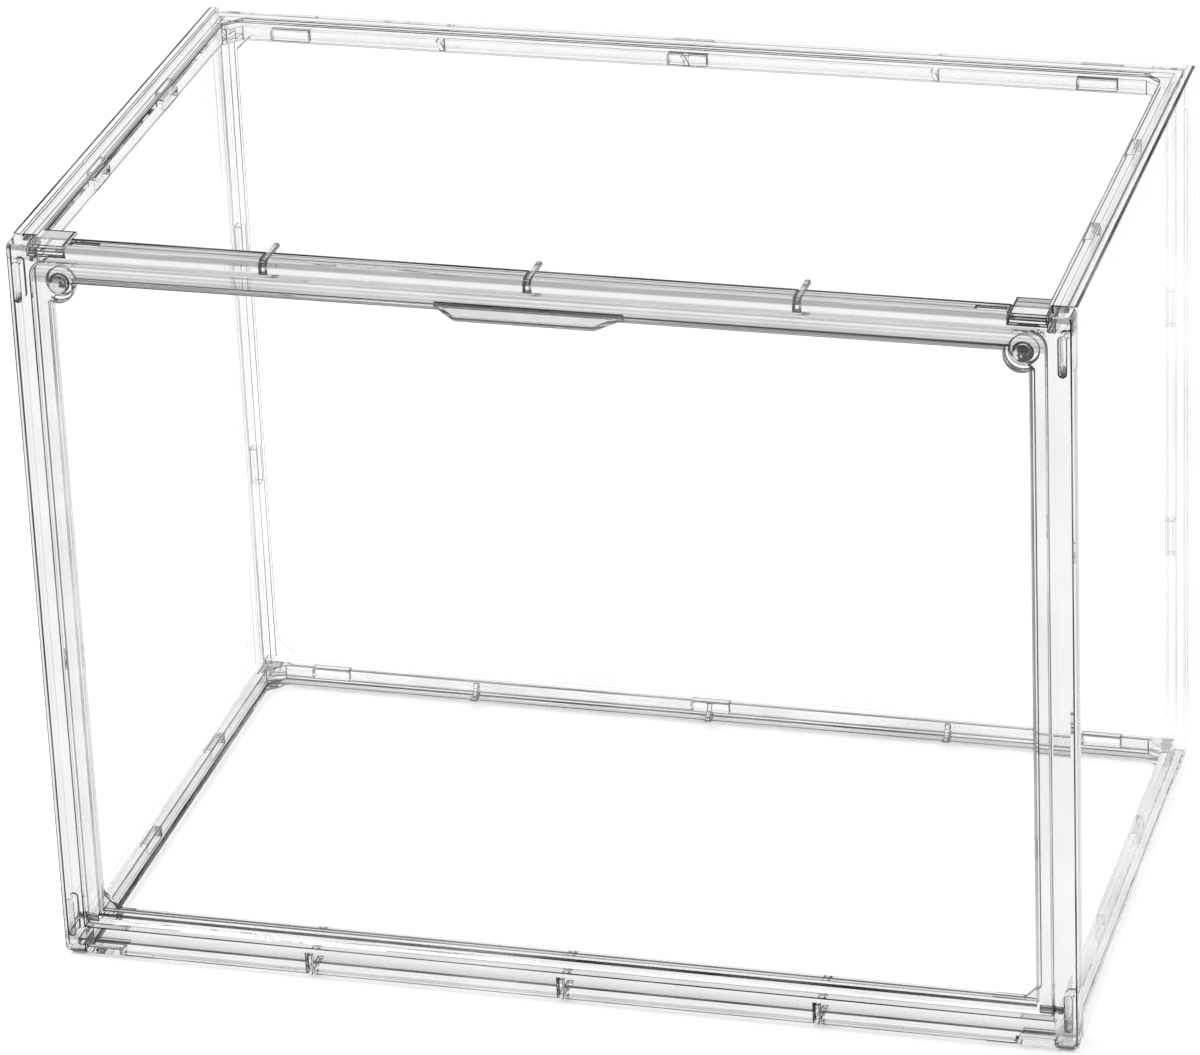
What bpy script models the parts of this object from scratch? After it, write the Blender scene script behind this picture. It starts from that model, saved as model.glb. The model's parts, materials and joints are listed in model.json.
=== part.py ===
"""Book display box: five clear panels that snap together round a front frame with a drop-down door.

The origin is on the floor under the middle of the whole object, +Z is up and the door faces -Y.
Each panel is drawn flat, with its outer face at zero and its inside upward, and then stood in its
place. The word depth means the distance behind the frame's front face.
"""

import math

import bmesh
import bpy
from mathutils import Euler, Matrix, Vector

# Driving dimensions, in metres
box_width = 0.360
box_depth = 0.220
box_height = 0.270
foot_drop = 0.0010
fit_gap = 0.0003
cut_overrun = 0.0020

# Moulded panels: a thin sheet inside a thicker rim
panel_thickness = 0.0028
panel_recess = 0.0010
rim_width = 0.0096
rim_corner_chamfer = 0.0060

# Flanges and rails that meet along the edges of the box, and the hooks that lock them
flange_inset = 0.0064
flange_thickness = 0.0030
flange_reach = 0.0085
rail_inset = 0.0044
rail_thickness = 0.0030
hook_length = 0.0134
hook_depth_shares = (1 / 3, 2 / 3)
hook_height_shares = (1 / 3, 2 / 3)
back_hook_from_side = 0.0330

# Narrow hooks that cross the front rails, and the gussets of the back flange
rib_width_shares = (-1 / 4, 0, 1 / 4)
rib_thickness = 0.0018
rib_root = 0.0160
top_rib_drop = 0.0042
base_rib_drop = 0.0085
gusset_length = 0.0060
gusset_height = 0.0050

# Corner tabs of the top and the base, which hook over the front frame
tab_from_side = 0.0084
tab_width = 0.0124
tab_root = 0.0142
tab_thickness = 0.0020
tab_drop = 0.0034
tab_hook = 0.0012
tab_chamfer = 0.0008

# Front frame
frame_depth = 0.0086
frame_corner_radius = 0.0020
frame_edge_chamfer = 0.0018
stile_width = 0.0084
top_rail_height = 0.0057
bottom_rail_height = 0.0110
stop_side_width = 0.0052
stop_bottom_height = 0.0044
stop_top_height = 0.0078
stop_bottom_chamfer = 0.0060
stop_top_chamfer = 0.0080
keyhole_from_side = 0.0034
keyhole_width = 0.0024
keyhole_length = 0.0140
keyhole_from_end = 0.0070
tongue_root = 0.0200
tongue_tip_depth = 0.0010
groove_length = 0.0100
groove_width = 0.0025
groove_sink = 0.0008
groove_depth = 0.0025
groove_from_tab = 0.0013

# Door
door_inset = 0.0002
door_thickness = 0.0058
door_gap = 0.0004
door_corner_radius = 0.0050
door_side_rim = 0.0054
door_top_rim = 0.0070
door_bottom_rim = 0.0046
door_sheet = 0.0018
door_recess = 0.0010
grip_reach = 0.0060
grip_root_width = 0.0635
grip_tip_width = 0.0477
grip_thickness = 0.0018
grip_below_top = 0.0054
grip_fall = 0.0016
grip_embed = 0.0020
grip_tip_radius = 0.0030

# Magnets and hinge pins
magnet_radius = 0.0030
magnet_thickness = 0.0028
magnet_edge_radius = 0.0003
magnet_from_side = 0.0170
magnet_below_top = 0.0148
door_boss_radius = 0.0059
frame_boss_radius = 0.0050
boss_floor = 0.0010
pin_radius = 0.0012
pin_in_frame = 0.0027
pin_in_door = 0.0043
pin_edge_radius = 0.0002

# Feet
foot_width = 0.0050
foot_length = 0.0060
foot_seat = 0.0011
foot_edge_radius = 0.0005
front_foot_from_side = 0.0046
front_foot_depth = 0.0046
back_foot_from_side = 0.0090
back_foot_from_back = 0.0079

# Fineness of round shapes
arc_steps = 6
boss_segments = 40
pin_segments = 24
weld_distance = 0.000001
sharp_angle = math.radians(40)
flat_angle = math.radians(0.5)

# Places that follow from the sizes above
half_width = box_width / 2
front_side = grip_reach - (box_depth + grip_reach) / 2
shell_bottom = foot_drop
panel_front = frame_depth + fit_gap
panel_half_width = half_width - panel_thickness - fit_gap
panel_back = box_depth - panel_thickness - fit_gap
flange_half_width = half_width - flange_inset
flange_back = box_depth - flange_inset
rail_reach = flange_inset - fit_gap
hook_reach = flange_inset + flange_thickness - 2 * fit_gap
rail_bottom = shell_bottom + rail_inset
rail_top = box_height - rail_inset
window_near = rail_inset - fit_gap
window_far = rail_inset + rail_thickness + fit_gap
window_half = hook_length / 2 + fit_gap
tab_centre = half_width - tab_from_side - tab_width / 2
well_half_width = half_width - stile_width
well_bottom = shell_bottom + bottom_rail_height
well_top = box_height - top_rail_height
door_half_width = well_half_width - door_gap
door_top = well_top - door_gap
hinge_radius = door_thickness / 2
hinge_depth = door_inset + hinge_radius
hinge_height = well_bottom + door_gap + hinge_radius
stop_face = door_inset + door_thickness + fit_gap
magnet_half_spacing = half_width - magnet_from_side
magnet_height = box_height - magnet_below_top
magnet_pocket = magnet_thickness + 2 * fit_gap
frame_pocket_floor = stop_face + magnet_pocket
frame_boss_back = frame_pocket_floor + boss_floor
hook_depths = [share * box_depth for share in hook_depth_shares]
hook_heights = [shell_bottom + share * (box_height - shell_bottom) for share in hook_height_shares]
back_hook_places = (back_hook_from_side - half_width, 0, half_width - back_hook_from_side)
rib_places = [share * box_width for share in rib_width_shares]
keyhole_heights = (
    shell_bottom + keyhole_from_end + keyhole_length / 2,
    box_height - keyhole_from_end - keyhole_length / 2,
)

quarter = math.pi / 2
ALONG_X = Euler((quarter, 0, quarter)).to_matrix().to_4x4()
FACING_BACK = Euler((quarter, 0, 0))
FACING_FRONT = Euler((quarter, 0, math.pi))
UPSIDE_DOWN = Euler((0, math.pi, 0))


# Simple shapes
def mesh_from(shape, name):
    """Turn a finished bmesh into a mesh."""
    mesh = bpy.data.meshes.new(name)
    shape.to_mesh(mesh)
    shape.free()
    return mesh


def box_shape(corner, opposite):
    """A box between two opposite corners, given in any order."""
    corner, opposite = Vector(corner), Vector(opposite)
    size = Vector([abs(span) for span in opposite - corner])
    shape = bmesh.new()
    bmesh.ops.create_cube(shape, size=1, matrix=Matrix.LocRotScale((corner + opposite) / 2, None, size))
    return mesh_from(shape, "box")


def rod_shape(centre, radius, length, axis, segments):
    """A round rod about a point, lying along the given axis."""
    turn = Vector((0, 0, 1)).rotation_difference(Vector(axis)).to_matrix().to_4x4()
    shape = bmesh.new()
    bmesh.ops.create_cone(
        shape, cap_ends=True, segments=segments, radius1=radius, radius2=radius,
        depth=length, matrix=Matrix.Translation(centre) @ turn)
    return mesh_from(shape, "rod")


def prism_shape(points, low, high, turn=None):
    """A flat outline drawn out along Z from low to high, and then turned."""
    curve = bpy.data.curves.new("outline", "CURVE")
    curve.dimensions = "2D"
    curve.fill_mode = "BOTH"
    curve.extrude = (high - low) / 2
    spline = curve.splines.new("POLY")
    spline.points.add(len(points) - 1)
    for spot, (across, up) in zip(spline.points, points):
        spot.co = (across, up, 0, 1)
    spline.use_cyclic_u = True
    outline = bpy.data.objects.new("outline", curve)
    bpy.context.scene.collection.objects.link(outline)
    bpy.context.view_layer.update()
    drawn = outline.evaluated_get(bpy.context.evaluated_depsgraph_get())
    mesh = bpy.data.meshes.new_from_object(drawn)
    shape = bmesh.new()
    shape.from_mesh(mesh)
    bmesh.ops.remove_doubles(shape, verts=shape.verts, dist=weld_distance)
    bmesh.ops.dissolve_limit(shape, angle_limit=flat_angle, verts=shape.verts, edges=shape.edges)
    shape.transform(Matrix.Translation((0, 0, (low + high) / 2)))
    if turn is not None:
        shape.transform(turn)
    bmesh.ops.recalc_face_normals(shape, faces=shape.faces)
    if shape.calc_volume(signed=True) < 0:
        bmesh.ops.reverse_faces(shape, faces=shape.faces)
    bpy.data.objects.remove(outline, do_unlink=True)
    bpy.data.curves.remove(curve)
    bpy.data.meshes.remove(mesh)
    return mesh_from(shape, "prism")


def gathered(name, shapes):
    """One mesh that holds every shape, each still a body of its own."""
    whole = bmesh.new()
    for shape in shapes:
        whole.from_mesh(shape)
        bpy.data.meshes.remove(shape)
    return mesh_from(whole, name)


# Outlines
def arc_points(centre, radius, start, sweep):
    """Points along an arc, both ends included."""
    turns = [start + sweep * step / arc_steps for step in range(arc_steps + 1)]
    return [(centre[0] + radius * math.cos(turn), centre[1] + radius * math.sin(turn)) for turn in turns]


def corner_directions(corners, index):
    """A corner of an outline and the unit directions to its two neighbours."""
    here = Vector(corners[index][:2])
    before = Vector(corners[index - 1][:2])
    after = Vector(corners[(index + 1) % len(corners)][:2])
    return here, (before - here).normalized(), (after - here).normalized()


def chamfered(corners):
    """An outline from (x, y, cut) corners, each cut off by that length along both its sides."""
    points = []
    for index, corner in enumerate(corners):
        here, to_before, to_after = corner_directions(corners, index)
        cut = corner[2]
        points += [here + to_before * cut, here + to_after * cut] if cut else [here]
    return points


def rounded(corners):
    """An outline from (x, y, radius) corners, each rounded to that radius."""
    points = []
    for index, corner in enumerate(corners):
        here, to_before, to_after = corner_directions(corners, index)
        radius = corner[2]
        if not radius:
            points.append(here)
            continue
        half_angle = to_before.angle(to_after) / 2
        centre = here + (to_before + to_after).normalized() * radius / math.sin(half_angle)
        first = here + to_before * radius / math.tan(half_angle) - centre
        last = here + to_after * radius / math.tan(half_angle) - centre
        start = math.atan2(first.y, first.x)
        sweep = math.atan2(first.x * last.y - first.y * last.x, first.dot(last))
        points += arc_points(centre, radius, start, sweep)
    return points


def rectangle(left, right, bottom, top, bottom_cut=0, top_cut=0):
    """Four corners, anticlockwise, with a chamfer or radius for the lower and the upper pair."""
    return [
        (left, bottom, bottom_cut), (right, bottom, bottom_cut),
        (right, top, top_cut), (left, top, top_cut),
    ]


# Scene, materials and pieces
def clear_scene():
    """Remove every object that the scene starts with."""
    for old in list(bpy.data.objects):
        bpy.data.objects.remove(old, do_unlink=True)


def new_collection(name):
    """A collection of that name in the scene."""
    collection = bpy.data.collections.new(name)
    bpy.context.scene.collection.children.link(collection)
    return collection


def new_material(name, colour, roughness, metallic):
    """A plain surface with one colour."""
    material = bpy.data.materials.new(name)
    material.use_nodes = True
    surface = material.node_tree.nodes["Principled BSDF"]
    surface.inputs["Base Color"].default_value = (*colour, 1)
    surface.inputs["Roughness"].default_value = roughness
    surface.inputs["Metallic"].default_value = metallic
    return material


class Workshop:
    """The collections and materials that the pieces share."""

    def __init__(self):
        self.parts = new_collection("book_display_box")
        self.cutters = new_collection("cutters")
        self.clear_plastic = new_material("clear_plastic", (0.82, 0.85, 0.87), 0.08, 0)
        self.magnet_metal = new_material("magnet_metal", (0.55, 0.56, 0.58), 0.25, 1)
        self.pin_steel = new_material("pin_steel", (0.62, 0.63, 0.65), 0.2, 1)
        self.foot_pad = new_material("foot_pad", (0.5, 0.51, 0.52), 0.6, 0)

    def piece(self, name, mesh, material, location, rotation=None):
        """A named piece of the box."""
        mesh.name = name
        mesh.materials.append(material)
        made = bpy.data.objects.new(name, mesh)
        made.location = location
        if rotation is not None:
            made.rotation_euler = rotation
        self.parts.objects.link(made)
        return made

    def work(self, piece, operation, name, shapes):
        """Add shapes to a piece or cut them out of it, in the piece's own frame."""
        tool = bpy.data.objects.new(f"{piece.name}_{name}", gathered(name, shapes))
        tool.parent = piece
        tool.hide_render = True
        tool.display_type = "WIRE"
        self.cutters.objects.link(tool)
        step = piece.modifiers.new(name, "BOOLEAN")
        step.operation = operation
        step.solver = "EXACT"
        step.object = tool

    def join(self, piece, name, shapes):
        """Add shapes to a piece."""
        self.work(piece, "UNION", name, shapes)

    def cut(self, piece, name, shapes):
        """Cut shapes out of a piece."""
        self.work(piece, "DIFFERENCE", name, shapes)


def soften(piece, width, segments):
    """Round the sharp edges of a small piece and shade its sides smooth."""
    piece.data.shade_smooth()
    piece.data.set_sharp_from_angle(angle=sharp_angle)
    bevel = piece.modifiers.new("soft_edges", "BEVEL")
    bevel.width = width
    bevel.segments = segments
    bevel.limit_method = "ANGLE"
    bevel.angle_limit = sharp_angle


# Hooks over the front frame
def hook_outline(drop, root, clearance):
    """Side view of a tab that lies across the front rail and hooks down over its face."""
    face = -clearance
    underside = tab_thickness + clearance
    hook_back = tab_hook + clearance
    return [
        (face, tab_chamfer - clearance), (tab_chamfer - clearance, face), (root, face),
        (root, underside), (hook_back, underside), (hook_back, drop + clearance),
        (face, drop + clearance),
    ]


def front_hooks(rib_drop, clearance=0):
    """The two corner tabs and the three narrow hooks of the top or the base."""
    shapes = []
    tab = hook_outline(tab_drop, tab_root, clearance)
    rib = hook_outline(rib_drop, rib_root, clearance)
    for x in (-tab_centre, tab_centre):
        half = tab_width / 2 + clearance
        shapes.append(prism_shape(tab, x - half, x + half, ALONG_X))
    for x in rib_places:
        half = rib_thickness / 2 + clearance
        shapes.append(prism_shape(rib, x - half, x + half, ALONG_X))
    return shapes


# Base and top
def flange_windows():
    """Windows that the hooks of the side panels and of the back panel pass through."""
    shapes = []
    for side in (-1, 1):
        outside = side * (flange_half_width + cut_overrun)
        inside = side * (flange_half_width - flange_thickness - cut_overrun)
        for depth in hook_depths:
            shapes.append(box_shape(
                (outside, depth - window_half, window_near), (inside, depth + window_half, window_far)))
    behind = flange_back + cut_overrun
    ahead = flange_back - flange_thickness - cut_overrun
    for x in back_hook_places:
        shapes.append(box_shape(
            (x - window_half, ahead, window_near), (x + window_half, behind, window_far)))
    return shapes


def gussets():
    """Small triangular gussets in front of the back flange."""
    flange_front = flange_back - flange_thickness
    root = panel_thickness / 2
    inside_flange = flange_front + fit_gap
    top = panel_thickness + gusset_height
    outline = [
        (flange_front - gusset_length, root), (inside_flange, root), (inside_flange, top),
        (flange_front, top),
    ]
    half = rib_thickness / 2
    return [prism_shape(outline, x - half, x + half, ALONG_X) for x in rib_places]


def make_level_panel(shop, name, level, rotation, rib_drop):
    """The base, or the top when it is turned over; its Y is the depth."""
    plate = box_shape((-panel_half_width, panel_front, 0), (panel_half_width, panel_back, panel_thickness))
    panel = shop.piece(name, plate, shop.clear_plastic, (0, front_side, level), rotation)
    shop.join(panel, "flange_block", [box_shape(
        (-flange_half_width, panel_front, panel_thickness / 2),
        (flange_half_width, flange_back, flange_reach))])
    inner_half_width = flange_half_width - flange_thickness
    inside = chamfered(rectangle(
        -inner_half_width, inner_half_width, panel_front - cut_overrun, flange_back - flange_thickness,
        0, rim_corner_chamfer))
    shop.cut(panel, "inside", [prism_shape(inside, panel_thickness, flange_reach + cut_overrun)])
    sheet_half_width = half_width - rim_width
    face = chamfered(rectangle(
        -sheet_half_width, sheet_half_width, panel_front - cut_overrun, box_depth - rim_width,
        0, rim_corner_chamfer))
    shop.cut(panel, "face_recess", [prism_shape(face, -cut_overrun, panel_recess)])
    shop.cut(panel, "hook_windows", flange_windows())
    shop.join(panel, "front_hooks", front_hooks(rib_drop))
    shop.join(panel, "gussets", gussets())
    return panel


def foot_pockets(from_side, depth):
    """Pockets in the underside for a left and a right foot."""
    across = foot_width / 2 + fit_gap
    along = foot_length / 2 + fit_gap
    shapes = []
    for x in (from_side - half_width, half_width - from_side):
        shapes.append(box_shape(
            (x - across, depth - along, -cut_overrun), (x + across, depth + along, foot_seat + fit_gap)))
    return shapes


def make_base_and_top(shop):
    """The floor and the roof of the box."""
    base = make_level_panel(shop, "base_panel", shell_bottom, None, base_rib_drop)
    shop.cut(base, "foot_pockets", foot_pockets(back_foot_from_side, box_depth - back_foot_from_back))
    make_level_panel(shop, "top_panel", box_height, UPSIDE_DOWN, top_rib_drop)


# Side panels
def side_hooks(facing):
    """Hooks that pass through the windows of the base, the top and the back."""
    half = hook_length / 2
    shapes = []
    for depth in hook_depths:
        for low in (rail_bottom, rail_top - rail_thickness):
            shapes.append(box_shape(
                (facing * (depth - half), low, panel_thickness),
                (facing * (depth + half), low + rail_thickness, hook_reach)))
    rail_back = box_depth - rail_inset
    for height in hook_heights:
        shapes.append(box_shape(
            (facing * rail_back, height - half, panel_thickness),
            (facing * (rail_back - rail_thickness), height + half, hook_reach)))
    return shapes


def side_tongues(facing):
    """Tongues on the front edge that enter the slots of the frame's stiles."""
    near = keyhole_from_side - keyhole_width / 2 + fit_gap
    far = keyhole_from_side + keyhole_width / 2 - fit_gap
    half = keyhole_length / 2 - keyhole_width / 2
    return [
        box_shape(
            (facing * tongue_tip_depth, height - half, near), (facing * tongue_root, height + half, far))
        for height in keyhole_heights]


def make_side_panel(shop, name, side):
    """A side wall, drawn with its depth along X, its height along Y and its inside upward."""
    facing = -side
    rotation = Euler((quarter, 0, facing * quarter))
    plate = box_shape(
        (facing * panel_front, shell_bottom, 0), (facing * box_depth, box_height, panel_thickness))
    panel = shop.piece(name, plate, shop.clear_plastic, (side * half_width, front_side, 0), rotation)
    rail_back = box_depth - rail_inset
    shop.join(panel, "rail_block", [box_shape(
        (facing * panel_front, rail_bottom, panel_thickness / 2),
        (facing * rail_back, rail_top, rail_reach))])
    shop.cut(panel, "inside", [box_shape(
        (facing * (panel_front - cut_overrun), rail_bottom + rail_thickness, panel_thickness),
        (facing * (rail_back - rail_thickness), rail_top - rail_thickness, rail_reach + cut_overrun))])
    sheet_back = box_depth - rim_width
    sheet_bottom = shell_bottom + rim_width
    sheet_top = box_height - rim_width
    face = chamfered([
        (facing * (panel_front - cut_overrun), sheet_bottom, 0),
        (facing * sheet_back, sheet_bottom, rim_corner_chamfer),
        (facing * sheet_back, sheet_top, rim_corner_chamfer),
        (facing * (panel_front - cut_overrun), sheet_top, 0),
    ])
    shop.cut(panel, "face_recess", [prism_shape(face, -cut_overrun, panel_recess)])
    shop.join(panel, "hooks", side_hooks(facing) + side_tongues(facing))


# Back panel
def back_flanges():
    """Level rails for the hooks of the top and the base, and upright flanges for the side panels."""
    root = panel_thickness / 2
    shapes = []
    for low in (rail_bottom, rail_top - rail_thickness):
        shapes.append(box_shape(
            (-flange_half_width, low, root), (flange_half_width, low + rail_thickness, rail_reach)))
    bottom = shell_bottom + flange_reach + fit_gap
    top = box_height - flange_reach - fit_gap
    for side in (-1, 1):
        shapes.append(box_shape(
            (side * flange_half_width, bottom, root),
            (side * (flange_half_width - flange_thickness), top, flange_reach)))
    return shapes


def make_back_panel(shop):
    """The rear wall, drawn with its height along Y and its inside upward."""
    plate = box_shape((-panel_half_width, shell_bottom, 0), (panel_half_width, box_height, panel_thickness))
    place = (0, front_side + box_depth, 0)
    panel = shop.piece("back_panel", plate, shop.clear_plastic, place, FACING_BACK)
    shop.join(panel, "flanges", back_flanges())
    sheet_half_width = half_width - rim_width
    face = chamfered(rectangle(
        -sheet_half_width, sheet_half_width, shell_bottom + rim_width, box_height - rim_width,
        rim_corner_chamfer, rim_corner_chamfer))
    shop.cut(panel, "face_recess", [prism_shape(face, -cut_overrun, panel_recess)])
    windows = []
    for side in (-1, 1):
        outside = side * (flange_half_width + cut_overrun)
        inside = side * (flange_half_width - flange_thickness - cut_overrun)
        for height in hook_heights:
            windows.append(box_shape(
                (outside, height - window_half, window_near), (inside, height + window_half, window_far)))
    shop.cut(panel, "hook_windows", windows)
    hooks = []
    half = hook_length / 2
    for x in back_hook_places:
        for low in (rail_bottom, rail_top - rail_thickness):
            hooks.append(box_shape(
                (x - half, low, panel_thickness), (x + half, low + rail_thickness, hook_reach)))
    shop.join(panel, "hooks", hooks)


# Front frame
def upright_rod(x, y, radius, low, high):
    """A round rod along Z between two levels."""
    return rod_shape((x, y, (low + high) / 2), radius, high - low, (0, 0, 1), boss_segments)


def chamfer_front_edge(frame):
    """Chamfer the outer edge of the frame's front face."""
    weights = frame.data.attributes.new("bevel_weight_edge", "FLOAT", "EDGE")
    for edge in frame.data.edges:
        levels = [frame.data.vertices[end].co.z for end in edge.vertices]
        weights.data[edge.index].value = 1 if max(levels) < frame_depth / 2 else 0
    bevel = frame.modifiers.new("front_edge", "BEVEL")
    bevel.width = frame_edge_chamfer
    bevel.segments = 2
    bevel.limit_method = "WEIGHT"


def seated_in_frame(shapes, level, inward):
    """Carry shapes from the frame of reference of the top or the base into that of the ring."""
    seated = Matrix(((-inward, 0, 0, 0), (0, 0, inward, level), (0, 1, 0, 0), (0, 0, 0, 1)))
    for shape in shapes:
        shape.transform(seated)
    return shapes


def hook_notches(rib_drop):
    """Notches for the hooked tabs of the top or the base, and the grooves beside the corner tabs."""
    shapes = front_hooks(rib_drop, fit_gap)
    start = tab_centre - tab_width / 2 - groove_from_tab
    for side in (-1, 1):
        shapes.append(box_shape(
            (side * start, groove_depth, -cut_overrun),
            (side * (start - groove_length), groove_depth + groove_width, groove_sink)))
    return shapes


def frame_seats():
    """The frame's magnet pockets, pin holes and keyhole slots."""
    shapes = []
    pin_hole = pin_in_frame + fit_gap
    for side in (-1, 1):
        shapes.append(upright_rod(
            side * magnet_half_spacing, magnet_height, magnet_radius + fit_gap,
            stop_face - cut_overrun, frame_pocket_floor))
        middle = well_half_width + (pin_hole - cut_overrun) / 2
        shapes.append(rod_shape(
            (side * middle, hinge_height, hinge_depth), pin_radius + fit_gap,
            pin_hole + cut_overrun, (1, 0, 0), pin_segments))
        keyhole_x = side * (half_width - keyhole_from_side)
        for height in keyhole_heights:
            slot = rounded(rectangle(
                keyhole_x - keyhole_width / 2, keyhole_x + keyhole_width / 2,
                height - keyhole_length / 2, height + keyhole_length / 2,
                keyhole_width / 2, keyhole_width / 2))
            shapes.append(prism_shape(slot, -cut_overrun, frame_depth + cut_overrun))
    return shapes


def make_front_frame(shop):
    """The ring at the front, drawn with its front face at zero and its depth upward."""
    ring = rounded(rectangle(
        -half_width, half_width, shell_bottom, box_height, frame_corner_radius, frame_corner_radius))
    frame = shop.piece(
        "front_frame", prism_shape(ring, 0, frame_depth), shop.clear_plastic,
        (0, front_side, 0), FACING_FRONT)
    chamfer_front_edge(frame)
    well = rounded(rectangle(
        -well_half_width, well_half_width, well_bottom, well_top, 0, door_corner_radius + door_gap))
    shop.cut(frame, "door_well", [prism_shape(well, -cut_overrun, stop_face)])
    opening_half_width = well_half_width - stop_side_width
    opening = chamfered(rectangle(
        -opening_half_width, opening_half_width, well_bottom + stop_bottom_height,
        well_top - stop_top_height, stop_bottom_chamfer, stop_top_chamfer))
    shop.cut(frame, "opening", [prism_shape(opening, -cut_overrun, frame_depth + cut_overrun)])
    shop.join(frame, "magnet_bosses", [
        upright_rod(side * magnet_half_spacing, magnet_height, frame_boss_radius, stop_face, frame_boss_back)
        for side in (-1, 1)])
    below = hook_notches(base_rib_drop) + foot_pockets(front_foot_from_side, front_foot_depth)
    shop.cut(frame, "top_notches", seated_in_frame(hook_notches(top_rib_drop), box_height, -1))
    shop.cut(frame, "base_notches", seated_in_frame(below, shell_bottom, 1))
    shop.cut(frame, "seats", frame_seats())


# Door
def door_slab():
    """The door's full outline, half round along its lower edge."""
    top = door_top - hinge_height
    profile = arc_points((0, 0), hinge_radius, -quarter, -math.pi)
    profile += [(top, hinge_radius), (top, -hinge_radius)]
    return prism_shape(profile, -door_half_width, door_half_width, ALONG_X)


def corner_cutter(side):
    """What is cut away to round one upper corner of the door."""
    top = door_top - hinge_height
    centre = (side * (door_half_width - door_corner_radius), top - door_corner_radius)
    arc = arc_points(centre, door_corner_radius, 0 if side > 0 else math.pi, side * quarter)
    outside = side * (door_half_width + cut_overrun)
    over = top + cut_overrun
    outline = arc + [(centre[0], over), (outside, over), (outside, centre[1])]
    return prism_shape(outline, -hinge_radius - cut_overrun, hinge_radius + cut_overrun)


def grip_shape():
    """The finger lip at the top centre, which falls a little towards its tip."""
    out = grip_reach + door_inset
    flare = (grip_root_width - grip_tip_width) / 2 * grip_embed / out
    root = grip_root_width / 2 + flare
    tip = grip_tip_width / 2
    outline = rounded([
        (-root, -grip_embed, 0), (root, -grip_embed, 0),
        (tip, out, grip_tip_radius), (-tip, out, grip_tip_radius),
    ])
    slope = grip_fall / out
    height = door_top - grip_below_top - hinge_height
    lean = Matrix(((1, 0, 0, 0), (0, -slope, 1, height), (0, -1, 0, -hinge_radius), (0, 0, 0, 1)))
    return prism_shape(outline, -grip_thickness / 2, grip_thickness / 2, lean)


def make_door(shop):
    """The door, drawn about its hinge axis with its height along Y and its depth upward."""
    door = shop.piece(
        "door_panel", door_slab(), shop.clear_plastic,
        (0, front_side + hinge_depth, hinge_height), FACING_FRONT)
    shop.cut(door, "corners", [corner_cutter(side) for side in (-1, 1)])
    sheet_half_width = door_half_width - door_side_rim
    sheet = chamfered(rectangle(
        -sheet_half_width, sheet_half_width, door_bottom_rim - hinge_radius,
        door_top - door_top_rim - hinge_height))
    sheet_face = door_recess - hinge_radius
    shop.cut(door, "faces", [
        prism_shape(sheet, -hinge_radius - cut_overrun, sheet_face),
        prism_shape(sheet, sheet_face + door_sheet, hinge_radius + cut_overrun)])
    boss_height = magnet_height - hinge_height
    shop.join(door, "bosses_and_grip", [grip_shape()] + [
        upright_rod(side * magnet_half_spacing, boss_height, door_boss_radius, -hinge_radius, hinge_radius)
        for side in (-1, 1)])
    seats = []
    hole = pin_in_door + fit_gap
    for side in (-1, 1):
        seats.append(upright_rod(
            side * magnet_half_spacing, boss_height, magnet_radius + fit_gap,
            hinge_radius - magnet_pocket, hinge_radius + cut_overrun))
        seats.append(rod_shape(
            (side * (door_half_width + (cut_overrun - hole) / 2), 0, 0), pin_radius + fit_gap,
            hole + cut_overrun, (1, 0, 0), pin_segments))
    shop.cut(door, "seats", seats)


# Magnets, pins and feet
def make_magnets_and_pins(shop):
    """Two magnets in the door, two in the frame, and the pins that the door turns on."""
    pocket_middle = magnet_pocket / 2
    door_magnet_depth = hinge_depth + hinge_radius - pocket_middle
    pin_outer = well_half_width + pin_in_frame
    pin_inner = door_half_width - pin_in_door
    for side, word in ((-1, "left"), (1, "right")):
        for owner, depth in (("door", door_magnet_depth), ("frame", stop_face + pocket_middle)):
            magnet = shop.piece(
                f"{owner}_magnet_{word}",
                rod_shape((0, 0, 0), magnet_radius, magnet_thickness, (0, 0, 1), boss_segments),
                shop.magnet_metal, (side * magnet_half_spacing, front_side + depth, magnet_height),
                FACING_BACK)
            soften(magnet, magnet_edge_radius, 2)
        pin = shop.piece(
            f"hinge_pin_{word}",
            rod_shape((0, 0, 0), pin_radius, pin_outer - pin_inner, (1, 0, 0), pin_segments),
            shop.pin_steel,
            (side * (pin_outer + pin_inner) / 2, front_side + hinge_depth, hinge_height))
        soften(pin, pin_edge_radius, 2)


def make_feet(shop):
    """Four small pads, seated in the frame's lower corners and in the base's rear corners."""
    height = foot_drop + foot_seat
    corner = Vector((foot_width / 2, foot_length / 2, height / 2))
    places = (
        ("front", front_foot_from_side, front_foot_depth),
        ("back", back_foot_from_side, box_depth - back_foot_from_back),
    )
    for row, from_side, depth in places:
        for side, word in ((-1, "left"), (1, "right")):
            foot = shop.piece(
                f"foot_{row}_{word}", box_shape(-corner, corner), shop.foot_pad,
                (side * (half_width - from_side), front_side + depth, height / 2))
            soften(foot, foot_edge_radius, 2)


def main():
    """Build the whole box."""
    clear_scene()
    shop = Workshop()
    make_base_and_top(shop)
    make_side_panel(shop, "left_panel", -1)
    make_side_panel(shop, "right_panel", 1)
    make_back_panel(shop)
    make_front_frame(shop)
    make_door(shop)
    make_magnets_and_pins(shop)
    make_feet(shop)


main()
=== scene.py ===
import json
import math

import bmesh
import bpy
from bpy.props import FloatProperty, FloatVectorProperty, IntProperty, PointerProperty
from mathutils import Matrix, Vector

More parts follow.
